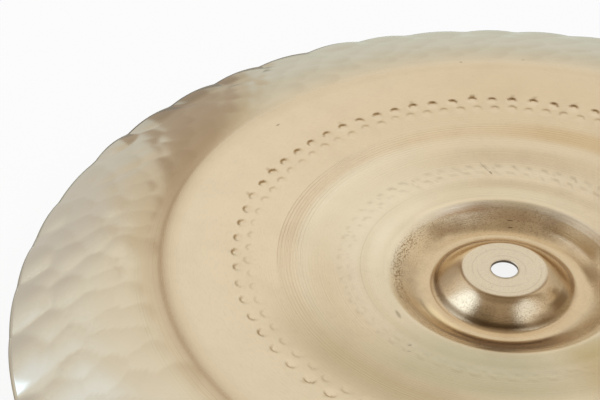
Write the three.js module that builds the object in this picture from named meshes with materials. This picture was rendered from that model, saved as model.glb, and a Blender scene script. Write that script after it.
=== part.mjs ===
// China cymbal, 18 inch: one sheet of bronze, seen with the hollow side of its bow facing up.
// A small flat crown stands inside the large bell, the bow opens like a shallow bowl up to the
// crease, and the wide hammered flange falls away from the crease to a wavy rim.
// Millimetres, +Z up. The origin is on the cymbal's axis, level with the lowest point of the bell.

import * as THREE from "three";

// Widths of the rings, from the axis outwards
const postHoleRadius = 6.35;
const crownFlatWidth = 13.3;
const crownWallWidth = 13.8;
const bellFloorWidth = 4.6;
const bellWallWidth = 18;
const bowWidth = 101;
const flangeWidth = 71.55;

// Heights of the upper face
const crownHeight = 9.7;
const bellDepth = 9.7;
const bowRise = 28.2;
const flangeDrop = 14.7;

// Sheet thickness, which thins from the bell to the rim
const bellThickness = 1.2;
const rimThickness = 0.8;

// Roundings of the profile
const crownShoulderReach = 1.6;
const crownFootReach = 3.6;
const crownFootSlant = 3.9;
const crownFootRise = 0.6;
const bellFloorReach = 2.4;
const bellEdgeReach = 6.5;
const bellEdgeSlant = 4.6;
const bowBulge = 0.4;
const creaseRounding = 2.5;

// The flange leaves the crease nearly level and steepens towards the rim: its drop grows as this
// power of the way out.
const flangeCurve = 1.6;

// Hammering of the flange: staggered rows of round marks, deepest at the rim, which they make wavy
const hammerMarksPerRow = 41;
const hammerRowPitch = 12.5;
const hammerLift = 0.7;
const lathedMargin = 8;
const hammerTurnDegrees = -0.5;

// How finely the round shapes are divided
const stepsPerMark = 2;
const crownWallSteps = 6;
const bellFloorSteps = 2;
const bellWallSteps = 6;
const bowSteps = 5;
const creaseSteps = 4;

const crownRadius = postHoleRadius + crownFlatWidth;
const crownFootRadius = crownRadius + crownWallWidth;
const bellFloorRadius = crownFootRadius + bellFloorWidth;
const bellRadius = bellFloorRadius + bellWallWidth;
const creaseRadius = bellRadius + bowWidth;
const rimRadius = creaseRadius + flangeWidth;

// The bell's floor rests on the ground, so the upper face there is one thickness up.
const bellFloorZ = bellThickness;
const crownFootZ = bellFloorZ + crownFootRise;
const crownTopZ = bellFloorZ + crownHeight;
const bellEdgeZ = bellFloorZ + bellDepth;
const creaseZ = bellEdgeZ + bowRise;
const rimZ = creaseZ - flangeDrop;

const bronze = new THREE.MeshStandardMaterial({
  name: "bronze",
  color: new THREE.Color(0.82, 0.7, 0.5),
  metalness: 1,
  roughness: 0.3,
});

const at = (radius, height) => new THREE.Vector2(radius, height);

function crownWall() {
  const wall = new THREE.CubicBezierCurve(
    at(crownRadius, crownTopZ),
    at(crownRadius + crownShoulderReach, crownTopZ),
    at(crownFootRadius - crownFootSlant, crownFootZ + crownFootReach),
    at(crownFootRadius, crownFootZ),
  );
  return wall.getPoints(crownWallSteps);
}

function bellFloor() {
  const floor = new THREE.QuadraticBezierCurve(
    at(crownFootRadius, crownFootZ),
    at(bellFloorRadius - bellFloorReach, bellFloorZ),
    at(bellFloorRadius, bellFloorZ),
  );
  return floor.getPoints(bellFloorSteps);
}

function bellWall() {
  const wall = new THREE.CubicBezierCurve(
    at(bellFloorRadius, bellFloorZ),
    at(bellFloorRadius + bellFloorReach, bellFloorZ),
    at(bellRadius - bellEdgeReach, bellEdgeZ - bellEdgeSlant),
    at(bellRadius, bellEdgeZ),
  );
  return wall.getPoints(bellWallSteps);
}

// The bow is nearly a cone, with a slight bulge, and ends where the crease starts to round off.
function bow() {
  const bellEdge = at(bellRadius, bellEdgeZ);
  const creaseTop = at(creaseRadius, creaseZ);
  const roundingShare = creaseRounding / bowWidth;
  const points = [];
  for (let step = 0; step <= bowSteps; step++) {
    const share = (step / bowSteps) * (1 - roundingShare);
    const onBow = bellEdge.clone().lerp(creaseTop, share);
    onBow.y += bowBulge * Math.sin(Math.PI * share);
    points.push(onBow);
  }
  return points;
}

function flangeHeight(radius) {
  const share = (radius - creaseRadius) / flangeWidth;
  return THREE.MathUtils.lerp(creaseZ, rimZ, share ** flangeCurve);
}

function crease() {
  const flangeStartRadius = creaseRadius + creaseRounding;
  const rounding = new THREE.QuadraticBezierCurve(
    bow().at(-1),
    at(creaseRadius, creaseZ),
    at(flangeStartRadius, flangeHeight(flangeStartRadius)),
  );
  return rounding.getPoints(creaseSteps);
}

// The hammered flange has one ring at each row of marks, counted inwards from the rim.
function flange() {
  const points = [];
  const hammeredFrom = creaseRadius + lathedMargin;
  for (let radius = rimRadius; radius > hammeredFrom; radius -= hammerRowPitch) {
    points.unshift(at(radius, flangeHeight(radius)));
  }
  return points;
}

// The upper face in profile. Each stretch starts where the one before it ends.
function upperProfile() {
  const postHoleEdge = at(postHoleRadius, crownTopZ);
  return [
    postHoleEdge,
    ...crownWall(),
    ...bellFloor().slice(1),
    ...bellWall().slice(1),
    ...bow().slice(1),
    ...crease().slice(1),
    ...flange(),
  ];
}

function thicknessAt(radius) {
  const share = (radius - bellRadius) / (rimRadius - bellRadius);
  return THREE.MathUtils.lerp(bellThickness, rimThickness, THREE.MathUtils.clamp(share, 0, 1));
}

// The lower face follows the upper one, a sheet's thickness away from it. The edges of the hole
// and of the rim are upright.
function lowerProfile(upper) {
  return upper.map((here, index) => {
    const thickness = thicknessAt(here.x);
    const inner = upper[index - 1];
    const outer = upper[index + 1];
    if (!inner || !outer) return at(here.x, here.y - thickness);
    const outwards = outer.clone().sub(inner).setLength(thickness);
    return at(here.x + outwards.y, here.y - outwards.x);
  });
}

// How far the hammering lifts the sheet: along a row and from row to row, it stands up and lies
// down in turn. It fades out towards the crease.
function hammering(radius, angle) {
  const share = THREE.MathUtils.clamp((radius - creaseRadius) / flangeWidth, 0, 1);
  const turned = angle - THREE.MathUtils.degToRad(hammerTurnDegrees);
  const alongRow = Math.cos(hammerMarksPerRow * turned);
  const acrossRows = Math.cos((Math.PI * (rimRadius - radius)) / hammerRowPitch);
  return hammerLift * share * alongRow * acrossRows;
}

// One closed skin: rings of points from the hole out to the rim on the upper face, then back to
// the hole on the lower face. Each ring is joined to the next, and the last to the first.
function sheetGeometry() {
  const upper = upperProfile();
  const lower = lowerProfile(upper);
  const around = stepsPerMark * hammerMarksPerRow;
  const places = [];
  const lifts = [];
  const addRing = (ring, pattern) => {
    for (let step = 0; step < around; step++) {
      const angle = (2 * Math.PI * step) / around + THREE.MathUtils.degToRad(hammerTurnDegrees);
      const lift = hammering(pattern.x, angle);
      places.push(ring.x * Math.cos(angle), ring.x * Math.sin(angle), ring.y + lift);
      lifts.push(lift);
    }
  };
  upper.forEach((ring) => addRing(ring, ring));
  lower.reverse().forEach((ring, index) => addRing(ring, upper.at(-1 - index)));

  const ringCount = upper.length + lower.length;
  const triangles = [];
  for (let ring = 0; ring < ringCount; ring++) {
    const nextRing = (ring + 1) % ringCount;
    for (let step = 0; step < around; step++) {
      const nextStep = (step + 1) % around;
      const a = ring * around + step;
      const b = nextRing * around + step;
      const c = nextRing * around + nextStep;
      const d = ring * around + nextStep;
      // A patch folds along its raised diagonal, so both faces fold alike.
      if (lifts[a] + lifts[c] >= lifts[b] + lifts[d]) triangles.push(a, b, c, a, c, d);
      else triangles.push(a, b, d, b, c, d);
    }
  }
  const geometry = new THREE.BufferGeometry();
  geometry.setAttribute("position", new THREE.Float32BufferAttribute(places, 3));
  geometry.setIndex(triangles);
  geometry.computeVertexNormals();
  return geometry;
}

const cymbal = new THREE.Mesh(sheetGeometry(), bronze);
cymbal.name = "cymbal";

const chinaCymbal = new THREE.Group();
chinaCymbal.add(cymbal);

export default chinaCymbal;
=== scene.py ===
# A china cymbal on a pale studio floor: one sheet of bronze, lathed on the bow and hammered on
# the flange, seen from its hollow side. Metres; +Z is the cymbal's axis, the camera stands at -Y.

from math import cos, pi, radians, sin

import bpy
import numpy as np
from mathutils import Matrix, Vector


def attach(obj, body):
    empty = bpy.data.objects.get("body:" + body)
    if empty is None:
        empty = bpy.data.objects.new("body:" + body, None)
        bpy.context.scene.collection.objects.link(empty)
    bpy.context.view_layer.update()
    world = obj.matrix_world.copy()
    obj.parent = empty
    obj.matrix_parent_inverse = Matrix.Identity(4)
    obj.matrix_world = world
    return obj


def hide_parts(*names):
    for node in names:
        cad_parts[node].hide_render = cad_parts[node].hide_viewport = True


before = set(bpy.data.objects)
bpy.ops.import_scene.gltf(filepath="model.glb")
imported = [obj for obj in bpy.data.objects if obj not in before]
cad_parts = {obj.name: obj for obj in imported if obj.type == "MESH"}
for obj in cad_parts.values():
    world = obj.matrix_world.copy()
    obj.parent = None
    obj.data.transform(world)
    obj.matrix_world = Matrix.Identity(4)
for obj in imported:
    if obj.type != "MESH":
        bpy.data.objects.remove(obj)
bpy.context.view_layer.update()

# The sheet's profile, from the axis outwards
POST_HOLE_RADIUS = 0.00635
CROWN_RADIUS = 0.01965
CROWN_FOOT_RADIUS = 0.03345
BELL_FLOOR_RADIUS = 0.03805
BELL_RADIUS = 0.05605
CREASE_RADIUS = 0.15705
RIM_RADIUS = 0.2284
CROWN_HEIGHT = 0.0097
BELL_DEPTH = 0.0097
BOW_RISE = 0.02817
FLANGE_DROP = 0.0147
BELL_THICKNESS = 0.0012
RIM_THICKNESS = 0.0008

# The least height of the lower face above the ground
GROUND_GAP = 0.00002

# Roundings of the profile
CROWN_SHOULDER_REACH = 0.0016
CROWN_FOOT_REACH = 0.0036
CROWN_FOOT_SLANT = 0.0039
CROWN_FOOT_RISE = 0.0006
BELL_FLOOR_REACH = 0.0024
BELL_WALL_REACH = 0.0042
BELL_EDGE_REACH = 0.0065
BELL_EDGE_SLANT = 0.0046
BOW_BULGE = 0.0004
BELL_EDGE_ROUNDING = 0.0012
CREASE_ROUNDING = 0.0038

# The flange's drop grows as this power of the way out
FLANGE_CURVE = 1.6

# The lathe's long waves on the inner bow: pitch, height and where they are steepest
WAVE_PITCH = 0.018
WAVE_HEIGHT = 0.00005
WAVE_START = 0.068
WAVE_END = 0.114

# Hammering of the flange: staggered rows of round bumps, the largest on the rim, which they make
# wavy. Each row: radius of its ring, how many marks it has, and their height and reach.
HAMMER_TURN = radians(-0.5)
HAMMER_ROWS = (
    (0.2272, 41, 0.0014, 0.0164),
    (0.2142, 50, 0.00042, 0.0122),
    (0.2036, 50, 0.0004, 0.0116),
    (0.1930, 50, 0.00038, 0.0114),
    (0.1826, 50, 0.0003, 0.0112),
    (0.1738, 50, 0.00012, 0.0104),
)

# How unlike the blows are: scatter of a mark's place round and outwards, the share of it that the
# rim's row has, and the least and greatest share of its row's height and reach
HAMMER_SCATTER = radians(1.0)
HAMMER_SCATTER_OUT = 0.0022
RIM_SCATTER_SHARE = 0.3
HAMMER_HEIGHT_SHARES = (0.6, 1.3)
HAMMER_REACH_SHARES = (0.88, 1.12)

# Painted shade on the hammer marks: one side of each mark is painted darker, as if the light fell
# from the other side. How much darker, how far that leans along and outwards, where along the lean
# it starts, how fast it grows, and over which share of the height it fades in
HAMMER_SHADE = 0.13
HAMMER_SHADE_ALONG = 0.75
HAMMER_SHADE_OUT = 0.35
HAMMER_SHADE_START = 0.5
HAMMER_SHADE_POWER = 1.4
HAMMER_SHADE_FADE_SHARE = 0.25

# Rows of punched dents on the bow. Each is a round pit with a steep wall on its outer side and a
# floor that comes up towards the axis: radius of the row's ring, how many, first angle, depth.
PIT_ROWS = (
    (0.1257, 70, radians(86.8), 0.00085),
    (0.1194, 79, radians(87.5), 0.00037),
    (0.0762, 62, radians(3.0), 0.00027),
    (0.0722, 60, radians(1.0), 0.00024),
)
PIT_RADIUS = 0.0032
PIT_WALL = 0.0015
PIT_FLOOR_POWER = 1.3
PIT_SCATTER = radians(0.1)
PIT_SCATTER_OUT = 0.0003
PIT_DEPTH_SHARES = (0.75, 1.2)
PIT_LEAN_SCATTER = 0.25

# Grime on a pit's wall, with painted shade that makes it darker on the far side and lighter on the
# near side: from which lean outwards it starts and over how much it grows, how much less a shallow
# pit has, and how much there is at the sides and how much more painted shade there is on the far side
GRIME_START = 0.1
GRIME_GROWTH = 0.5
GRIME_DEPTH_POWER = 1.3
GRIME_AT_SIDES = 0.9
PIT_PAINTED_SHADE_FAR = 0.35

# Coarse lathe grooves: from and to which radius, pitch and depth. They are worn but for one
# stretch of the turn, given in degrees.
GROOVES = (
    (0.1002, 0.1078, 0.0019, 0.000045),
    (0.0905, 0.0985, 0.0026, 0.000022),
)
GROOVED_AZIMUTH = 168
GROOVED_HALF_TURN = 36
GROOVED_BLUR = 24
GROOVED_LEAST = 0.1

# Fine grooves, in the finish alone
FINE_PITCH = 0.0015
FINE_DEPTH = 0.0001

# Rings in each stretch of the profile, from the axis outwards
CROWN_FLAT_STEPS = 8
CROWN_WALL_STEPS = 28
FOOT_STEPS = 8
BELL_FLOOR_STEPS = 6
BELL_WALL_STEPS = 14
BELL_EDGE_STEPS = 6
INNER_BOW_STEPS = 30
GROOVE_STEPS = 16
BEFORE_PITS_STEPS = 6
PIT_STEPS = 5
PIT_EDGE_STEPS = 3
OUTER_BOW_STEPS = 10
CREASE_STEPS = 8
FLANGE_START_STEPS = 6
FLANGE_STEPS = 35

# How many steps of its neighbours the foot's and the bell edge's rounding takes the place of
FOOT_TAKES = 3
BELL_EDGE_TAKES = 1

# The lower face is plainer: every third ring, with half the points
LOWER_RING_STRIDE = 3
LOWER_POINT_STRIDE = 2

# On the flat map the lower face lies below the upper one
LOWER_MAP_HEIGHT = 0.24
UPPER_MAP_START = 0.25

# Points round a ring, by stretch
BELL_POINTS = 200
BOW_POINTS = 320
PIT_POINTS = 840
CREASE_POINTS = 410
FLANGE_POINTS = 820

# The camera, solved from the photograph's rings
CAMERA_DISTANCE = 0.4555
CAMERA_ELEVATION = radians(37.3942)
CAMERA_PAN = radians(12.3516)
CAMERA_TILT = radians(-0.9307)
CAMERA_ROLL = radians(5.4624)
CAMERA_AIM_HEIGHT = 0.031
CAMERA_NEAREST = 0.01
FOCAL_PIXELS = 958.7
PHOTO_WIDTH = 600
SENSOR_WIDTH = 36.0

BELL_FLOOR_Z = BELL_THICKNESS
CROWN_FOOT_Z = BELL_FLOOR_Z + CROWN_FOOT_RISE
CROWN_TOP_Z = BELL_FLOOR_Z + CROWN_HEIGHT
BELL_EDGE_Z = BELL_FLOOR_Z + BELL_DEPTH
CREASE_Z = BELL_EDGE_Z + BOW_RISE
FLANGE_WIDTH = RIM_RADIUS - CREASE_RADIUS

# One seed for every scatter
rng = np.random.default_rng(18)


def curve(steps, *corners):
    """Points on a quadratic or cubic Bezier curve, its start left out."""
    t = np.linspace(0, 1, steps + 1)[1:, None]
    points = [np.array(corner)[None] for corner in corners]
    while len(points) > 1:
        points = [a + (b - a) * t for a, b in zip(points, points[1:])]
    return points[0]


def bow_height(r):
    share = (r - BELL_RADIUS) / (CREASE_RADIUS - BELL_RADIUS)
    fade = np.clip((WAVE_END - r) / WAVE_PITCH, 0, 1) * np.clip((r - BELL_RADIUS) / WAVE_PITCH, 0, 1)
    wave = WAVE_HEIGHT * fade * np.sin(2 * pi * (r - WAVE_START) / WAVE_PITCH)
    return BELL_EDGE_Z + BOW_RISE * share + BOW_BULGE * np.sin(pi * share) + wave


def flange_height(r):
    share = np.clip((r - CREASE_RADIUS) / FLANGE_WIDTH, 0, 1)
    return CREASE_Z - FLANGE_DROP * share**FLANGE_CURVE


def grooves(r, angles):
    """How deep the lathe's coarse grooves are on one ring."""
    depth = 0.0
    for start, end, pitch, deep in GROOVES:
        inside = min(max(min(r - start, end - r) / (pitch / 2), 0), 1)
        depth += inside * deep * (0.5 - 0.5 * cos(2 * pi * (r - start) / pitch))
    turned = np.degrees(abs(around(angles - radians(GROOVED_AZIMUTH))))
    clear = np.clip(0.5 + (GROOVED_HALF_TURN - turned) / (2 * GROOVED_BLUR), GROOVED_LEAST, 1)
    return depth * clear


def ruled(height, start, end, steps):
    """Points from one radius to another on a stretch whose height is a formula, start left out."""
    r = np.linspace(start, end, steps + 1)[1:]
    return np.column_stack([r, height(r)])


def profile():
    """The upper face in profile: stretches of (radius, height) points, with their points round."""
    bow_end = CREASE_RADIUS - CREASE_ROUNDING
    flange_start = CREASE_RADIUS + CREASE_ROUNDING
    hole_edge = (POST_HOLE_RADIUS, CROWN_TOP_Z)
    crown = (CROWN_RADIUS, CROWN_TOP_Z)
    foot = (CROWN_FOOT_RADIUS, CROWN_FOOT_Z)
    floor = (BELL_FLOOR_RADIUS, BELL_FLOOR_Z)
    bell = (BELL_RADIUS, BELL_EDGE_Z)
    shoulder = (CROWN_RADIUS + CROWN_SHOULDER_REACH, CROWN_TOP_Z)
    above_foot = (CROWN_FOOT_RADIUS - CROWN_FOOT_SLANT, CROWN_FOOT_Z + CROWN_FOOT_REACH)
    before_floor = (BELL_FLOOR_RADIUS - BELL_FLOOR_REACH, BELL_FLOOR_Z)
    after_floor = (BELL_FLOOR_RADIUS + BELL_WALL_REACH, BELL_FLOOR_Z)
    under_edge = (BELL_RADIUS - BELL_EDGE_REACH, BELL_EDGE_Z - BELL_EDGE_SLANT)
    wall = curve(CROWN_WALL_STEPS, crown, shoulder, above_foot, foot)
    bottom = curve(BELL_FLOOR_STEPS, foot, before_floor, floor)
    bell_wall = curve(BELL_WALL_STEPS, floor, after_floor, under_edge, bell)
    wall_end = tuple(wall[-FOOT_TAKES - 1])
    bell_wall_end = tuple(bell_wall[-BELL_EDGE_TAKES - 1])
    bow_start = BELL_RADIUS + BELL_EDGE_ROUNDING
    on_bow = (bow_start, bow_height(bow_start))
    crease_start = (bow_end, bow_height(bow_end))
    crease_top = (CREASE_RADIUS, CREASE_Z)
    crease_end = (flange_start, flange_height(flange_start))
    outer_row, inner_row = PIT_ROWS[0][0], PIT_ROWS[1][0]
    pits_from = inner_row - PIT_RADIUS
    inner_wall = inner_row + PIT_RADIUS - PIT_WALL
    inner_edge = inner_row + PIT_RADIUS
    outer_wall = outer_row + PIT_RADIUS - PIT_WALL
    pits_to = outer_row + PIT_RADIUS
    grooves_from, grooves_to = GROOVES[0][0], GROOVES[0][1]
    hammered_from = HAMMER_ROWS[-1][0] - HAMMER_ROWS[-1][3]
    return [
        (np.array([hole_edge]), BELL_POINTS),
        (curve(CROWN_FLAT_STEPS, hole_edge, crown), BELL_POINTS),
        (wall[:-FOOT_TAKES], BELL_POINTS),
        (curve(FOOT_STEPS, wall_end, foot, tuple(bottom[1])), BELL_POINTS),
        (bottom[2:], BELL_POINTS),
        (bell_wall[:-BELL_EDGE_TAKES], BELL_POINTS),
        (curve(BELL_EDGE_STEPS, bell_wall_end, bell, on_bow), BELL_POINTS),
        (ruled(bow_height, bow_start, grooves_from, INNER_BOW_STEPS), BOW_POINTS),
        (ruled(bow_height, grooves_from, grooves_to, GROOVE_STEPS), BOW_POINTS),
        (ruled(bow_height, grooves_to, pits_from, BEFORE_PITS_STEPS), BOW_POINTS),
        (ruled(bow_height, pits_from, inner_wall, PIT_STEPS), PIT_POINTS),
        (ruled(bow_height, inner_wall, inner_edge, PIT_EDGE_STEPS), PIT_POINTS),
        (ruled(bow_height, inner_edge, outer_wall, PIT_STEPS), PIT_POINTS),
        (ruled(bow_height, outer_wall, pits_to, PIT_STEPS), PIT_POINTS),
        (ruled(bow_height, pits_to, bow_end, OUTER_BOW_STEPS), BOW_POINTS),
        (curve(CREASE_STEPS, crease_start, crease_top, crease_end), CREASE_POINTS),
        (ruled(flange_height, flange_start, hammered_from, FLANGE_START_STEPS), CREASE_POINTS),
        (ruled(flange_height, hammered_from, RIM_RADIUS, FLANGE_STEPS), FLANGE_POINTS),
    ]


def thickness(r):
    share = np.clip((r - BELL_RADIUS) / (RIM_RADIUS - BELL_RADIUS), 0, 1)
    return BELL_THICKNESS + (RIM_THICKNESS - BELL_THICKNESS) * share


def around(angle):
    """An angle brought between minus and plus half a turn."""
    return (angle + pi) % (2 * pi) - pi


def hammer_marks():
    """Centre radius, angle, height and reach of each mark, no two blows quite alike."""
    marks = []
    for row, (radius, count, height, reach) in enumerate(HAMMER_ROWS):
        scatter = RIM_SCATTER_SHARE if row == 0 else 1.0
        for step in range(count):
            angle = HAMMER_TURN + 2 * pi * (step + row / 2) / count
            angle += rng.normal(0, HAMMER_SCATTER * scatter)
            place = radius + rng.normal(0, HAMMER_SCATTER_OUT * scatter)
            tall = height * rng.uniform(*HAMMER_HEIGHT_SHARES)
            marks.append((place, angle, tall, reach * rng.uniform(*HAMMER_REACH_SHARES)))
    return np.array(marks)


def pits():
    """Centre radius, angle, depth and sideways lean of each pit."""
    marks = []
    for radius, count, first, depth in PIT_ROWS:
        for step in range(count):
            angle = first - 2 * pi * step / count + rng.normal(0, PIT_SCATTER)
            place = radius + rng.normal(0, PIT_SCATTER_OUT)
            deep = depth * rng.uniform(*PIT_DEPTH_SHARES)
            marks.append((place, angle, deep, rng.normal(0, PIT_LEAN_SCATTER)))
    return np.array(marks)


HAMMERED = hammer_marks()
PITTED = pits()


def hammering(r, angles):
    """How far the hammer lifts the flange on one ring, and how much painted shade each point has."""
    near = HAMMERED[abs(HAMMERED[:, 0] - r) < HAMMERED[:, 3]]
    if not len(near):
        return np.zeros_like(angles), np.zeros_like(angles)
    along = r * around(angles[None] - near[:, 1:2]) / near[:, 3:4]
    out = (r - near[:, 0:1]) / near[:, 3:4]
    caps = near[:, 2:3] * np.clip(1 - along**2 - out**2, 0, 1)
    highest = caps.argmax(0), np.arange(len(angles))
    # painted shade: each mark is darker towards one side, as if lit from the other
    lean = HAMMER_SHADE_ALONG * along + HAMMER_SHADE_OUT * out
    painted_shade = HAMMER_SHADE * np.clip(HAMMER_SHADE_START - lean, 0, 1) ** HAMMER_SHADE_POWER
    fade = np.clip(caps / near[:, 2:3] / HAMMER_SHADE_FADE_SHARE, 0, 1)
    return caps[highest], (painted_shade * fade)[highest]


def punching(r, angles):
    """How deep the punch goes on one ring, and how much each point lies on a pit's steep wall."""
    near = PITTED[abs(PITTED[:, 0] - r) < PIT_RADIUS]
    if not len(near):
        return np.zeros_like(angles), np.zeros_like(angles)
    along = r * around(angles[None] - near[:, 1:2])
    out = r - near[:, 0:1]
    inwards = PIT_RADIUS - np.hypot(along, out)
    wall = np.clip(inwards / PIT_WALL, 0, 1)
    wall = wall * wall * (3 - 2 * wall)
    lean = (out + near[:, 3:4] * along) / PIT_RADIUS
    floor = np.clip(0.5 + 0.5 * lean, 0, 1) ** PIT_FLOOR_POWER
    depth = near[:, 2:3] * floor * wall
    outer_side = np.clip((lean - GRIME_START) / GRIME_GROWTH, 0, 1)
    deep = (near[:, 2:3] / PIT_ROWS[0][3]) ** GRIME_DEPTH_POWER
    # the wall is steepest half way up
    on_wall = np.clip(6 * wall * (1 - wall), 0, 1) * outer_side * deep
    # painted shade: the pits' grime is darker on the far side and lighter on the near side
    on_wall *= GRIME_AT_SIDES + PIT_PAINTED_SHADE_FAR * np.sin(angles)
    return depth.max(0), np.clip(on_wall.max(0), 0, 1)


def relief(r, angles):
    """What the hammer, the punch and the lathe do to the sheet on one ring: height, and grime with
    painted shade.
    """
    lift, painted_shade = hammering(r, angles)
    pit, wall = punching(r, angles)
    return lift - pit - grooves(r, angles), np.maximum(painted_shade, wall)


def ring(r, z, points, pattern_radius):
    """Points round a ring, each with its grime and painted shade."""
    angles = np.arange(points) * 2 * pi / points
    height, grime_and_painted_shade = relief(pattern_radius, angles)
    return np.column_stack([r * np.cos(angles), r * np.sin(angles), z + height, grime_and_painted_shade])


def lower_profile(upper):
    """The lower face, a thickness below the upper one. The hole's and the rim's edges are upright."""
    outwards = np.gradient(upper, axis=0)
    outwards[[0, -1]] = (1, 0)
    outwards /= np.linalg.norm(outwards, axis=1)[:, None]
    down = np.column_stack([outwards[:, 1], -outwards[:, 0]])
    lower = upper + down * thickness(upper[:, 0])[:, None]
    lower[:, 1] = np.maximum(lower[:, 1], GROUND_GAP)
    return lower


def stitch(a, b):
    """Triangles between two rings of vertex numbers, which may differ in length."""
    faces = []
    i = j = 0
    while i < len(a) or j < len(b):
        here_a, here_b = a[i % len(a)], b[j % len(b)]
        if j == len(b) or (i < len(a) and (i + 1) / len(a) <= (j + 1) / len(b)):
            i += 1
            faces.append((here_a, here_b, a[i % len(a)]))
        else:
            j += 1
            faces.append((here_a, here_b, b[j % len(b)]))
    return faces


def band(a, b):
    if len(a) != len(b):
        return stitch(a, b)
    return [tuple(face) for face in np.column_stack([a, b, np.roll(b, -1), np.roll(a, -1)])]


def unwrapped(mesh):
    """A flat map of the sheet: the share of a turn across, and the share of the radius up."""
    points = np.empty(len(mesh.vertices) * 3)
    mesh.vertices.foreach_get("co", points)
    points = points.reshape(-1, 3)
    corners = np.empty(len(mesh.loops), int)
    mesh.loops.foreach_get("vertex_index", corners)
    turn = np.arctan2(points[:, 1], points[:, 0]) / (2 * pi) % 1
    share = np.hypot(points[:, 0], points[:, 1]) / RIM_RADIUS
    across = turn[corners]
    first = np.empty(len(mesh.polygons), int)
    size = np.empty(len(mesh.polygons), int)
    mesh.polygons.foreach_get("loop_start", first)
    mesh.polygons.foreach_get("loop_total", size)
    face = np.repeat(np.arange(len(first)), size)
    highest = np.maximum.reduceat(across, first)
    across = np.where(highest[face] - across > 0.5, across + 1, across)
    return across, share[corners], face


def cymbal_mesh():
    stretches = profile()
    upper = np.vstack([points for points, _ in stretches])
    counts = np.concatenate([[count] * len(points) for points, count in stretches])
    lower = lower_profile(upper)
    rings = [ring(r, z, n, r) for (r, z), n in zip(upper, counts)]
    last = len(upper) - 1
    kept = [i for i in range(len(upper)) if i % LOWER_RING_STRIDE == 0 or i == last]
    for i in reversed(kept):
        rings.append(ring(*lower[i], counts[i] // LOWER_POINT_STRIDE, upper[i, 0]))
    starts = np.cumsum([0] + [len(points) for points in rings])
    numbers = [np.arange(a, b) for a, b in zip(starts, starts[1:])]
    faces = []
    upper_faces = 0
    for index, (a, b) in enumerate(zip(numbers, numbers[1:] + numbers[:1])):
        faces.extend(band(a, b))
        if index < len(upper):
            upper_faces = len(faces)
    points = np.vstack(rings)
    mesh = bpy.data.meshes.new("bronze_cymbal")
    mesh.from_pydata(points[:, :3].tolist(), [], [tuple(map(int, f)) for f in faces])
    mesh.polygons.foreach_set("use_smooth", [True] * len(mesh.polygons))
    grime_and_painted_shade = mesh.attributes.new("grime_and_painted_shade", "FLOAT", "POINT")
    grime_and_painted_shade.data.foreach_set("value", points[:, 3])
    across, share, face = unwrapped(mesh)
    on_upper = UPPER_MAP_START + (1 - UPPER_MAP_START) * share
    up = np.where(face < upper_faces, on_upper, LOWER_MAP_HEIGHT * share)
    layer = mesh.uv_layers.new(name="OFBake")
    layer.data.foreach_set("uv", np.column_stack([across, up]).ravel())
    mesh.update()
    return mesh


class Nodes:
    """A short way to write a material's nodes."""

    def __init__(self, tree):
        self.tree = tree
        tree.nodes.clear()

    def add(self, kind, inputs=(), **settings):
        node = self.tree.nodes.new(kind)
        for name, value in settings.items():
            setattr(node, name, value)
        for name, value in dict(inputs).items():
            if isinstance(value, bpy.types.NodeSocket):
                self.tree.links.new(value, node.inputs[name])
            else:
                node.inputs[name].default_value = value
        return node

    def math(self, operation, a, b=0.0):
        return self.add("ShaderNodeMath", {0: a, 1: b}, operation=operation).outputs[0]

    def ramp(self, value, stops):
        node = self.add("ShaderNodeValToRGB", {"Fac": value})
        elements = node.color_ramp.elements
        while len(elements) > 1:
            elements.remove(elements[-1])
        for index, (place, colour) in enumerate(stops):
            element = elements[0] if index == 0 else elements.new(place)
            element.position = place
            element.color = (*colour, 1)
        return node.outputs["Color"]

    def levels(self, value, stops):
        """A ramp of plain numbers."""
        return self.ramp(value, [(place, (level,) * 3) for place, level in stops])

    def fade(self, value, none, full):
        """A smooth rise from nothing at one value to one at the other."""
        limits = {"Value": value, "From Min": none, "From Max": full, "To Min": 0.0, "To Max": 1.0}
        return self.add("ShaderNodeMapRange", limits, interpolation_type="SMOOTHSTEP").outputs[0]

    def mix(self, factor, a, b):
        both = {"Factor": factor, "A": a, "B": b}
        return self.add("ShaderNodeMix", both, data_type="RGBA").outputs["Result"]

    def overlay_tint(self, colour, mask, strength, tint):
        """The colour with a tint laid over it where the mask is."""
        return self.mix(self.math("MULTIPLY", mask, strength), colour, (*linear(*tint), 1))

    def seen_directly(self):
        """One for what the camera, a mirror or glass sees, and nothing for light that falls on."""
        path = self.add("ShaderNodeLightPath").outputs
        seen = self.math("MAXIMUM", path["Is Camera Ray"], path["Is Glossy Ray"])
        return self.math("MAXIMUM", seen, path["Is Transmission Ray"])


def linear(red, green, blue):
    """A colour as seen on screen, from 0 to 255, in the renderer's linear units."""
    values = [v / 255 for v in (red, green, blue)]
    return tuple(v / 12.92 if v <= 0.04045 else ((v + 0.055) / 1.055) ** 2.4 for v in values)
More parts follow.
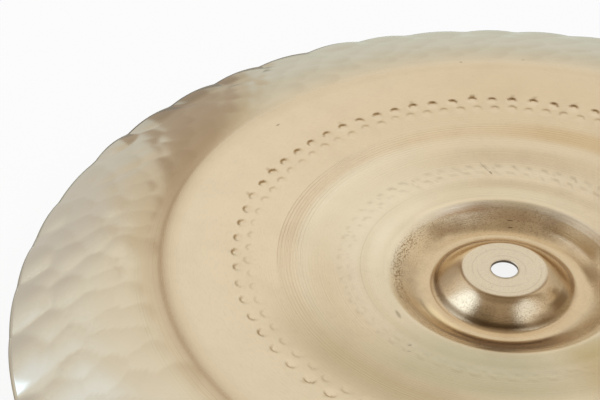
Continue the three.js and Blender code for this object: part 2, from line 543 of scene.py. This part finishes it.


# Patina, and patches of painted shade, painted highlights and painted reflections: inner and outer
# radius of the patch and how soft its edges are, in metres; azimuth of its middle, half its width
# and how soft its ends are, in degrees; how strong it is; its colour.
PATINA_AND_PAINTED_LIGHT = (
    # the edge of the hole, and rings on the crown's flat
    (0.0, 0.0065, 0.0001, 0, 180, 1, 0.85, (52, 38, 24)),
    (0.0098, 0.0102, 0.0003, 60, 70, 20, 0.22, (140, 108, 74)),
    (0.0126, 0.0130, 0.0003, 250, 60, 20, 0.22, (140, 108, 74)),
    (0.0150, 0.0154, 0.0003, 120, 90, 20, 0.2, (140, 108, 74)),
    (0.0170, 0.0174, 0.0003, 300, 70, 20, 0.22, (140, 108, 74)),
    # painted shade in the corner at the crown's foot, all round and more on the near side; painted
    # reflections on the crown's wall, dark on the left and right and a pale highlight on the far
    # left;
    # painted shade on the near side under the flat's edge
    (0.0308, 0.0334, 0.0010, 250, 66, 30, 0.6, (96, 70, 42)),
    (0.0312, 0.0332, 0.0006, 0, 180, 1, 0.3, (96, 70, 42)),
    (0.0200, 0.0330, 0.0010, 190, 14, 12, 0.3, (100, 72, 44)),
    (0.0200, 0.0305, 0.0014, 148, 22, 14, 0.6, (255, 238, 206)),
    (0.0196, 0.0268, 0.0012, 356, 20, 12, 0.2, (128, 88, 40)),
    (0.0273, 0.0312, 0.0010, 336, 16, 10, 0.72, (98, 68, 36)),
    (0.0290, 0.0330, 0.0010, 309, 9, 8, 0.55, (98, 68, 36)),
    (0.0244, 0.0274, 0.0008, 340, 5, 5, 0.5, (110, 78, 40)),
    (0.0196, 0.0208, 0.0004, 270, 80, 20, 0.5, (120, 88, 54)),
    (0.0196, 0.0232, 0.0008, 270, 22, 14, 0.35, (110, 80, 46)),
    # painted shade on the near wall of the bell, with darker lathe lines across it, and a painted
    # highlight on its left
    (0.0396, 0.0462, 0.0012, 275, 28, 12, 0.4, (104, 64, 24)),
    (0.0425, 0.0495, 0.0012, 270, 16, 10, 0.45, (100, 62, 26)),
    (0.0485, 0.0556, 0.0012, 270, 9, 8, 0.75, (84, 54, 24)),
    (0.0412, 0.0430, 0.0003, 254, 44, 8, 0.6, (84, 50, 20)),
    (0.0456, 0.0496, 0.0004, 268, 30, 12, 0.5, (84, 50, 20)),
    (0.0380, 0.0470, 0.0016, 228, 14, 9, 0.6, (252, 226, 176)),
    (0.0470, 0.0482, 0.0004, 274, 34, 12, 0.5, (84, 50, 20)),
    (0.0508, 0.0522, 0.0005, 274, 20, 12, 0.6, (84, 50, 20)),
    # painted highlights on the bell's edge and wall on the near side, on the left and just outside
    # the far edge, and painted brown shade on the far side and on the right
    (0.0490, 0.0575, 0.0024, 238, 20, 14, 0.6, (254, 240, 212)),
    (0.0520, 0.0575, 0.0016, 308, 30, 16, 0.75, (254, 240, 212)),
    (0.0462, 0.0532, 0.0014, 46, 21, 9, 0.78, (134, 97, 48)),
    (0.0530, 0.0558, 0.0010, 46, 18, 9, 0.55, (136, 92, 22)),
    (0.0514, 0.0550, 0.0012, 118, 15, 10, 0.6, (146, 94, 24)),
    (0.0558, 0.0582, 0.0010, 98, 44, 16, 0.52, (254, 240, 212)),
    (0.0476, 0.0535, 0.0010, 92, 26, 12, 0.25, (144, 92, 36)),
    (0.0400, 0.0462, 0.0014, 18, 8, 6, 0.4, (110, 74, 34)),
    (0.0530, 0.0565, 0.0014, 160, 46, 14, 0.4, (252, 238, 210)),
    (0.0440, 0.0510, 0.0014, 130, 12, 8, 0.42, (124, 86, 40)),
    # a paler stretch of the inner bow on the far left; painted highlights and a painted golden
    # reflection as rings on the far side; a fine ring
    (0.0585, 0.0985, 0.0035, 150, 32, 24, 0.42, (250, 240, 214)),
    (0.0578, 0.0640, 0.0020, 86, 24, 20, 0.4, (246, 240, 216)),
    (0.0700, 0.0800, 0.0030, 88, 26, 20, 0.45, (246, 234, 208)),
    (0.0912, 0.0985, 0.0020, 88, 26, 20, 0.25, (246, 232, 206)),
    (0.0985, 0.1100, 0.0030, 66, 24, 16, 0.3, (196, 160, 96)),
    (0.0683, 0.0687, 0.0002, 180, 38, 16, 0.14, (140, 104, 64)),
    # painted shade on the bow: on the near side, greyer nearer the bell, browner on the near right,
    # and a little on the far side
    (0.0920, 0.1180, 0.0100, 245, 28, 20, 0.5, (171, 149, 104)),
    (0.0580, 0.0920, 0.0040, 265, 26, 14, 0.4, (182, 184, 152)),
    (0.0580, 0.1200, 0.0060, 309, 12, 8, 0.5, (181, 158, 91)),
    (0.1300, 0.1540, 0.0060, 84, 24, 16, 0.12, (214, 188, 148)),
    # painted shade in the crease on the left, and on the rim on the far left
    (0.1592, 0.1612, 0.0012, 205, 42, 16, 0.14, (120, 84, 52)),
    (0.2150, 0.2300, 0.0040, 150, 9, 5, 0.4, (120, 110, 88)),
)

# Small marks on the sheet: x and y of the middle, half length and half width in metres, direction
# in degrees, strength
MARKS = (
    (-0.0361, 0.1540, 0.0008, 0.0005, 0, 0.6),
    (-0.0004, 0.1612, 0.0008, 0.0005, 0, 0.6),
    (-0.0150, 0.0760, 0.0050, 0.0003, -45, 0.3),
    (-0.0118, 0.0732, 0.0013, 0.0005, -50, 0.5),
    (-0.1280, 0.0726, 0.0014, 0.0005, 60, 0.5),
    (-0.0448, -0.0416, 0.0032, 0.0010, 118, 0.4),
    (-0.0365, -0.0639, 0.0010, 0.0005, 40, 0.5),
    (-0.0363, -0.0688, 0.0009, 0.0004, 0, 0.4),
    (0.0005, 0.0471, 0.0016, 0.0003, 0, 0.8),
    (0.0010, 0.0436, 0.0014, 0.0003, 8, 0.8),
)
MARK_COLOUR = (96, 64, 30)

# How far from its middle a mark starts and ends to fade, in half sizes
MARK_START = 0.5
MARK_END = 1.3

# The grain's streaks: cells of noise in a radian of the turn, and in a metre of radius
GRAIN_ALONG = 44.0
GRAIN_ACROSS = 1700.0


def sheet_places(n):
    """Where a point is on the sheet: its place, the way out from the axis, radius and rim share."""
    place = n.add("ShaderNodeTexCoord").outputs["Object"]
    flat = n.add("ShaderNodeVectorMath", {0: place, 1: (1, 1, 0)}, operation="MULTIPLY").outputs[0]
    radius = n.add("ShaderNodeVectorMath", {0: flat}, operation="LENGTH").outputs["Value"]
    outwards = n.add("ShaderNodeVectorMath", {0: flat}, operation="NORMALIZE").outputs[0]
    return place, outwards, radius, n.math("DIVIDE", radius, RIM_RADIUS)


def lathe_lines(n, radius):
    """Noise in rings round the axis."""
    noise = {"W": radius, "Scale": LINE_SCALE, "Detail": 3.0}
    return n.add("ShaderNodeTexNoise", noise, noise_dimensions="1D").outputs["Fac"]


def turned_grain(n, outwards, radius):
    """Noise in short streaks that run round the axis."""
    along = n.add("ShaderNodeVectorMath", {0: outwards, "Scale": GRAIN_ALONG}, operation="SCALE")
    split = n.add("ShaderNodeSeparateXYZ", {0: along.outputs[0]})
    across = n.math("MULTIPLY", radius, GRAIN_ACROSS)
    parts = {"X": split.outputs["X"], "Y": split.outputs["Y"], "Z": across}
    where = n.add("ShaderNodeCombineXYZ", parts).outputs[0]
    noise = {"Vector": where, "Scale": 1.0, "Detail": 4.0, "Roughness": 0.65}
    return n.add("ShaderNodeTexNoise", noise).outputs["Fac"]


def turn_mask(n, outwards, azimuth, half_turn, blur):
    """One on a stretch of the turn round the axis, given in degrees, with soft ends."""
    facing = (cos(radians(azimuth)), sin(radians(azimuth)), 0)
    dot = n.add("ShaderNodeVectorMath", {0: outwards, 1: facing}, operation="DOT_PRODUCT")
    turned = n.math("ARCCOSINE", dot.outputs["Value"])
    return n.fade(turned, radians(half_turn + blur), radians(half_turn - blur))


def patina_and_painted_light_mask(n, outwards, radius, inner, outer, blur, azimuth, half_turn, turn_blur):
    """One where a patch lies, falling to nothing over its soft edges.

    A half turn of 180 degrees goes all the way round.
    """
    off_middle = n.math("ABSOLUTE", n.math("SUBTRACT", radius, (inner + outer) / 2))
    half = (outer - inner) / 2
    in_ring = n.fade(off_middle, half + blur, half - blur)
    if half_turn >= 180:
        return in_ring
    return n.math("MULTIPLY", in_ring, turn_mask(n, outwards, azimuth, half_turn, turn_blur))


def mark_mask(n, place, x, y, half_length, half_width, direction):
    """One on a small mark, a soft oval that lies in the given direction."""
    placed = n.add(
        "ShaderNodeMapping",
        {
            "Vector": place,
            "Location": (x, y, 0),
            "Rotation": (0, 0, radians(direction)),
            "Scale": (half_length, half_width, 1),
        },
        vector_type="TEXTURE",
    ).outputs[0]
    flat = n.add("ShaderNodeVectorMath", {0: placed, 1: (1, 1, 0)}, operation="MULTIPLY").outputs[0]
    away = n.add("ShaderNodeVectorMath", {0: flat}, operation="LENGTH").outputs["Value"]
    return n.fade(away, MARK_END, MARK_START)


# The bronze's colour by share of the rim's radius
COLOURS_BY_SHARE = (
    (0.0, (227, 213, 188)),
    (0.0855, (226, 211, 184)),
    (0.0885, (206, 182, 146)),
    (0.13, (202, 177, 140)),
    (0.146, (200, 174, 136)),
    (0.155, (213, 189, 152)),
    (0.178, (211, 188, 151)),
    (0.19, (206, 182, 145)),
    (0.205, (208, 184, 147)),
    (0.222, (217, 197, 162)),
    (0.236, (226, 210, 180)),
    (0.275, (229, 213, 183)),
    (0.3, (225, 209, 178)),
    (0.31, (230, 213, 185)),
    (0.34, (228, 211, 182)),
    (0.375, (226, 208, 176)),
    (0.428, (229, 212, 182)),
    (0.436, (230, 212, 181)),
    (0.445, (228, 208, 176)),
    (0.468, (228, 209, 177)),
    (0.476, (230, 212, 181)),
    (0.54, (229, 211, 180)),
    (0.6, (230, 212, 182)),
    (0.66, (228, 211, 181)),
    (0.68, (221, 203, 172)),
    (0.69, (218, 200, 169)),
    (0.7, (218, 200, 169)),
    (0.74, (217, 202, 173)),
    (0.85, (213, 202, 178)),
    (0.995, (209, 201, 181)),
    # the rim's very edge is a painted dark reflection
    (0.999, (150, 135, 105)),
)

# Tables of levels, each by share of the rim's radius: how blotched the bronze is, and how many
# short dashes the lathe and wear have left on it
BLOTCHED_BY_SHARE = (
    (0.08, 0.1),
    (0.1, 0.3),
    (0.15, 0.25),
    (0.19, 0.8),
    (0.225, 0.6),
    (0.245, 0.25),
    (0.69, 0.12),
)
DASHED_BY_SHARE = (
    (0.03, 0.26),
    (0.08, 0.26),
    (0.09, 0.3),
    (0.14, 0.45),
    (0.155, 0.1),
    (0.18, 0.2),
    (0.2, 0.36),
    (0.232, 0.36),
    (0.246, 0.08),
    (0.69, 0.05),
    (0.72, 0.0),
)
BLOTCH_SCALE = 55.0
BLOTCH_STRENGTH = 0.3
BLOTCH_COLOUR = (118, 84, 50)
DASH_COLOUR = (128, 94, 54)

# Between which values of the noise blotches and dashes fade in
BLOTCH_RANGE = (0.42, 0.7)
DASH_RANGE = (0.5, 0.64)

# The dashes stand closer on the bell's left wall: a patch given as in the table of patina and painted
# light
LEFT_WALL = (0.0485, 0.0538, 0.001, 184, 30, 14)
LEFT_WALL_RANGE = (0.48, 0.57)
LEFT_WALL_STRENGTH = 0.7
LEFT_WALL_COLOUR = (126, 86, 38)

# The darkening that the mesh carries: grime on the pits' walls with painted shade, stronger on the
# far side, and painted shade on one side of each hammer mark
GRIME_AND_SHADE_STRENGTH = 0.8
GRIME_AND_SHADE_COLOUR = (138, 98, 26)


def bronze_colour(n, place, outwards, radius, share, grain):
    colour = n.ramp(share, [(stop, linear(*shade)) for stop, shade in COLOURS_BY_SHARE])
    noise = {"Vector": place, "Scale": BLOTCH_SCALE, "Detail": 5.0, "Roughness": 0.6}
    blotches = n.fade(n.add("ShaderNodeTexNoise", noise).outputs["Fac"], *BLOTCH_RANGE)
    blotched = n.math("MULTIPLY", n.levels(share, BLOTCHED_BY_SHARE), BLOTCH_STRENGTH)
    colour = n.overlay_tint(colour, blotches, blotched, BLOTCH_COLOUR)
    dashed = n.levels(share, DASHED_BY_SHARE)
    colour = n.overlay_tint(colour, n.fade(grain, *DASH_RANGE), dashed, DASH_COLOUR)
    close = n.math("MULTIPLY", n.fade(grain, *LEFT_WALL_RANGE), LEFT_WALL_STRENGTH)
    left_wall = patina_and_painted_light_mask(n, outwards, radius, *LEFT_WALL)
    colour = n.overlay_tint(colour, close, left_wall, LEFT_WALL_COLOUR)
    # patina, and patches of painted shade, painted highlights and painted reflections
    for *patch, strength, tint in PATINA_AND_PAINTED_LIGHT:
        colour = n.overlay_tint(colour, patina_and_painted_light_mask(n, outwards, radius, *patch), strength, tint)
    for *mark, strength in MARKS:
        colour = n.overlay_tint(colour, mark_mask(n, place, *mark), strength, MARK_COLOUR)
    # the mesh's darkening: grime in the pits, and painted shade on the pits' far side and on the
    # hammer marks
    grime_and_painted_shade = n.add("ShaderNodeAttribute", attribute_name="grime_and_painted_shade").outputs["Fac"]
    return n.overlay_tint(colour, grime_and_painted_shade, GRIME_AND_SHADE_STRENGTH, GRIME_AND_SHADE_COLOUR)


# How rough the bronze is, how clear the lathe's lines are, how worn the bell's skin is, and how
# clear the fine grooves are
ROUGHNESS_BY_SHARE = (
    (0.0, 0.42),
    (0.085, 0.4),
    (0.09, 0.13),
    (0.15, 0.16),
    (0.19, 0.22),
    (0.22, 0.24),
    (0.25, 0.34),
    (0.28, 0.34),
    (0.29, 0.42),
    (0.32, 0.38),
    (0.35, 0.44),
    (0.4, 0.42),
    (0.42, 0.36),
    (0.44, 0.32),
    (0.47, 0.32),
    (0.48, 0.36),
    (0.67, 0.34),
    (0.69, 0.3),
    (0.73, 0.15),
    (1.0, 0.12),
)
LATHED_BY_SHARE = (
    (0.0, 0.5),
    (0.085, 0.5),
    (0.09, 0.06),
    (0.17, 0.25),
    (0.25, 0.6),
    (0.35, 1.0),
    (0.42, 0.9),
    (0.47, 1.0),
    (0.5, 0.45),
    (0.68, 0.3),
    (0.7, 0.25),
    (0.74, 0.15),
    (0.77, 0.0),
)
WORN_BY_SHARE = (
    (0.085, 0.0),
    (0.1, 0.2),
    (0.145, 0.26),
    (0.155, 0.05),
    (0.18, 0.08),
    (0.2, 0.3),
    (0.228, 0.3),
    (0.242, 0.0),
)
GROOVED_BY_SHARE = (
    (0.36, 0.0),
    (0.38, 0.3),
    (0.41, 0.3),
    (0.43, 1.0),
    (0.47, 1.0),
    (0.478, 0.0),
)

# The lathe's lines: cells of noise in a metre of radius, strength and depth; the worn skin's depth
LINE_SCALE = 1500.0
LINE_STRENGTH = 0.5
LINE_DEPTH = 0.0002
SKIN_DEPTH = 0.0002


def bronze_normal(n, outwards, radius, share, grain):
    """The fine relief of the finish: the lathe's lines, and the worn skin of the bell."""
    clearest = turn_mask(n, outwards, GROOVED_AZIMUTH, GROOVED_HALF_TURN, GROOVED_BLUR)
    clear = n.math("MAXIMUM", clearest, GROOVED_LEAST)
    fine = {
        "Height": n.math("SINE", n.math("MULTIPLY", radius, 2 * pi / FINE_PITCH)),
        "Strength": n.math("MULTIPLY", n.levels(share, GROOVED_BY_SHARE), clear),
        "Distance": FINE_DEPTH,
    }
    lines = {
        "Height": lathe_lines(n, radius),
        "Strength": n.math("MULTIPLY", n.levels(share, LATHED_BY_SHARE), LINE_STRENGTH),
        "Distance": LINE_DEPTH,
        "Normal": n.add("ShaderNodeBump", fine).outputs[0],
    }
    skin = {
        "Height": grain,
        "Strength": n.levels(share, WORN_BY_SHARE),
        "Distance": SKIN_DEPTH,
        "Normal": n.add("ShaderNodeBump", lines).outputs[0],
    }
    return n.add("ShaderNodeBump", skin).outputs[0]


def bronze():
    material = bpy.data.materials.new("bronze")
    material.use_nodes = True
    n = Nodes(material.node_tree)
    place, outwards, radius, share = sheet_places(n)
    grain = turned_grain(n, outwards, radius)
    shader = n.add(
        "ShaderNodeBsdfPrincipled",
        {
            "Base Color": bronze_colour(n, place, outwards, radius, share, grain),
            "Metallic": 1.0,
            "Roughness": n.levels(share, ROUGHNESS_BY_SHARE),
            "Normal": bronze_normal(n, outwards, radius, share, grain),
        },
    )
    n.add("ShaderNodeOutputMaterial", {"Surface": shader.outputs[0]})
    return material


def make_cymbal():
    mesh = cymbal_mesh()
    mesh.materials.append(bronze())
    piece = bpy.data.objects.new("bronze_cymbal", mesh)
    bpy.context.collection.objects.link(piece)
    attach(piece, "root")
    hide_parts("cymbal")


# The studio's paper is pale, and white where it is seen directly. The rest of the floor's look is
# the cymbal's shadow.
PALE = (0.9, 0.9, 0.9, 1)
WHITE = (1, 1, 1, 1)
FLOOR_SIZE = 12
FLOOR_GLOW_SHARE = 0.85


def make_floor():
    material = bpy.data.materials.new("studio_floor")
    material.use_nodes = True
    n = Nodes(material.node_tree)
    glow_share = n.math("MULTIPLY", n.seen_directly(), FLOOR_GLOW_SHARE)
    paper = n.add("ShaderNodeBsdfDiffuse", {"Color": PALE})
    white = n.add("ShaderNodeEmission", {"Color": WHITE, "Strength": 1.0})
    both = n.add("ShaderNodeMixShader", {0: glow_share, 1: paper.outputs[0], 2: white.outputs[0]})
    n.add("ShaderNodeOutputMaterial", {"Surface": both.outputs[0]})
    bpy.ops.mesh.primitive_plane_add(size=FLOOR_SIZE, location=(0, 0, 0))
    floor = bpy.context.object
    floor.name = "studio_floor"
    floor.data.materials.append(material)


# What the metal mirrors: cards round the studio, each part of a great sphere. Azimuth and
# elevation of the middle, half width, half height and softness in degrees, how far the lower edge
# rises per degree sideways, distance in metres, colour. Azimuth 90 is the far side and 270 the
# camera's.
CARDS = (
    ("card_far_low", 80, 2, 75, 20, 12, 0, 3.4, (0.79, 0.8, 0.76)),
    ("card_far_high", 90, 66, 36, 12, 9, 0, 3.3, (0.88, 0.82, 0.71)),
    ("card_door", 123.6, 18, 4.6, 40, 0.8, 0, 1.4, (0.55, 0.46, 0.38)),
    ("card_door_side", 117.4, 16, 1.7, 36, 0.8, 0, 1.45, (0.7, 0.64, 0.54)),
    ("card_door_frame", 131.6, 36, 4.2, 20, 3, 0, 1.5, (0.82, 0.77, 0.7)),
    ("card_left_low", 150, 10, 20, 14, 10, 0, 3.1, (0.8, 0.78, 0.8)),
    ("card_left_glow", 158, 47, 8, 10, 6, 0, 3.0, (1.08, 1.16, 1.3)),
    ("card_left_box", 185, 48.8, 17, 12.2, 4, 0.4, 2.8, (1.8, 2.25, 3.0)),
    ("card_camera_side", 262, 55, 57, 7, 3, 0, 3.2, (0.2, 0.16, 0.11)),
    ("card_camera", 241, 64, 4, 4, 2.5, 0, 2.7, (0.05, 0.04, 0.02)),
    ("card_right_box", 337, 61, 25, 7.4, 3, -0.2, 2.9, (1.34, 1.56, 1.92)),
    ("card_right_wall", 19, 54, 7, 11, 3, 0, 2.95, (0.5, 0.43, 0.35)),
    ("card_right_low", 353, 18, 43, 20, 3, 0, 3.1, (0.72, 0.65, 0.54)),
)

# How finely a card is divided, and the highest that one reaches, in degrees
CARD_COLUMNS = 24
CARD_ROWS = 16
CARD_HIGHEST = 89.5

# Level cards: name, height and the corners, from the near left one anticlockwise, in metres; how
# soft the edges are, as a share of the half width; colour. They are the dark ceiling, the floor
# behind the cymbal as the flange mirrors it, and the floor before the door.
LEVEL_CARDS = (
    (
        "card_ceiling",
        3.0,
        ((-1.8, -4.2), (1.8, -4.2), (1.8, 0.85), (-1.8, 0.85)),
        0.06,
        (0.5, 0.44, 0.37),
    ),
    (
        "card_floor_behind",
        0.0005,
        ((-2.6, 0.0), (2.6, 0.0), (2.6, 3.2), (-2.6, 3.2)),
        0.04,
        (0.735, 0.755, 0.68),
    ),
    (
        "card_floor_door",
        0.0008,
        ((-0.26, 0.06), (-0.1, 0.22), (-0.64, 1.25), (-0.95, 1.04)),
        0.1,
        (0.38, 0.35, 0.31),
    ),
)


def card_material(name, half_width, half_height, softness, tint):
    material = bpy.data.materials.new(name)
    material.use_nodes = True
    material.cycles.emission_sampling = "NONE"
    n = Nodes(material.node_tree)
    off = n.add("ShaderNodeSeparateXYZ", {0: n.add("ShaderNodeTexCoord").outputs["UV"]})
    sideways = n.math("SUBTRACT", n.math("ABSOLUTE", off.outputs["X"]), half_width)
    upwards = n.math("SUBTRACT", n.math("ABSOLUTE", off.outputs["Y"]), half_height)
    inside = n.add(
        "ShaderNodeMapRange",
        {
            "Value": n.math("MAXIMUM", sideways, upwards),
            "From Min": softness,
            "From Max": -softness,
            "To Min": 0.0,
            "To Max": 1.0,
        },
        interpolation_type="SMOOTHSTEP",
    ).outputs[0]
    strength = max(tint)
    colour = tuple(v / strength for v in tint)
    glow = n.add("ShaderNodeEmission", {"Color": (*colour, 1), "Strength": strength})
    clear = n.add("ShaderNodeBsdfTransparent")
    both = n.add("ShaderNodeMixShader", {0: inside, 1: clear.outputs[0], 2: glow.outputs[0]})
    n.add("ShaderNodeOutputMaterial", {"Surface": both.outputs[0]})
    return material


def mirrored_only(name, points, faces, places, material):
    """A studio card that shows in the metal alone. Its places are what its material fades by."""
    mesh = bpy.data.meshes.new(name)
    mesh.from_pydata(points, [], faces)
    layer = mesh.uv_layers.new(name="degrees")
    for loop in mesh.loops:
        layer.data[loop.index].uv = places[loop.vertex_index]
    mesh.materials.append(material)
    card = bpy.data.objects.new(name, mesh)
    bpy.context.collection.objects.link(card)
    card.visible_camera = False
    card.visible_diffuse = False
    card.visible_shadow = False
    card.visible_transmission = False


def make_level_card(name, height, corners, softness, tint):
    """A level card between four corners. It fades out towards its edges."""
    places = [(-1, -1), (1, -1), (1, 1), (-1, 1)]
    points = [(x, y, height) for x, y in corners]
    material = card_material(name, 1 - softness, 1 - softness, softness, tint)
    mirrored_only(name, points, [(0, 1, 2, 3)], places, material)


def make_card(name, azimuth, elevation, half_width, half_height, softness, slant, distance, tint):
    """A card that is part of a sphere round the cymbal. It fades out towards its edges."""
    wide, tall = half_width + softness, half_height + softness
    points, faces, places = [], [], []
    for j in range(CARD_ROWS + 1):
        up = -tall + 2 * tall * j / CARD_ROWS
        for i in range(CARD_COLUMNS + 1):
            side = -wide + 2 * wide * i / CARD_COLUMNS
            slanted = elevation + up + slant * side * (tall - up) / (2 * tall)
            turn, rise = radians(azimuth + side), radians(min(slanted, CARD_HIGHEST))
            flat = distance * cos(rise)
            points.append((flat * cos(turn), flat * sin(turn), distance * sin(rise)))
            places.append((side, up))
    for j in range(CARD_ROWS):
        for i in range(CARD_COLUMNS):
            a = j * (CARD_COLUMNS + 1) + i
            b = a + CARD_COLUMNS + 1
            faces.append((a, a + 1, b + 1, b))
    material = card_material(name, half_width, half_height, softness, tint)
    mirrored_only(name, points, faces, places, material)


def make_world():
    world = bpy.data.worlds.new("studio")
    bpy.context.scene.world = world
    world.use_nodes = True
    n = Nodes(world.node_tree)
    colour = n.mix(n.seen_directly(), PALE, WHITE)
    back = n.add("ShaderNodeBackground", {"Color": colour, "Strength": 1.0})
    n.add("ShaderNodeOutputWorld", {"Surface": back.outputs[0]})


def make_camera():
    camera = bpy.data.cameras.new("camera")
    camera.sensor_width = SENSOR_WIDTH
    camera.lens = FOCAL_PIXELS / PHOTO_WIDTH * SENSOR_WIDTH
    camera.clip_start = CAMERA_NEAREST
    holder = bpy.data.objects.new("camera", camera)
    bpy.context.collection.objects.link(holder)
    offset = Vector((0, -cos(CAMERA_ELEVATION), sin(CAMERA_ELEVATION))) * CAMERA_DISTANCE
    forward = -offset.normalized()
    right = Vector((1, 0, 0))
    up = right.cross(forward)
    looking = Matrix((right, -up, forward))
    pan = Matrix.Rotation(CAMERA_PAN, 3, "Y")
    tilt = Matrix.Rotation(CAMERA_TILT, 3, "X")
    roll = Matrix.Rotation(CAMERA_ROLL, 3, "Z")
    x_axis, down, ahead = roll @ tilt @ pan @ looking
    turn = Matrix((x_axis, -down, -ahead)).transposed().to_4x4()
    place = Matrix.Translation(offset + Vector((0, 0, CAMERA_AIM_HEIGHT)))
    holder.matrix_world = place @ turn
    bpy.context.scene.camera = holder


make_cymbal()
make_floor()
for card in CARDS:
    make_card(*card)
for card in LEVEL_CARDS:
    make_level_card(*card)
make_world()
make_camera()
bpy.context.scene.view_settings.view_transform = "Standard"
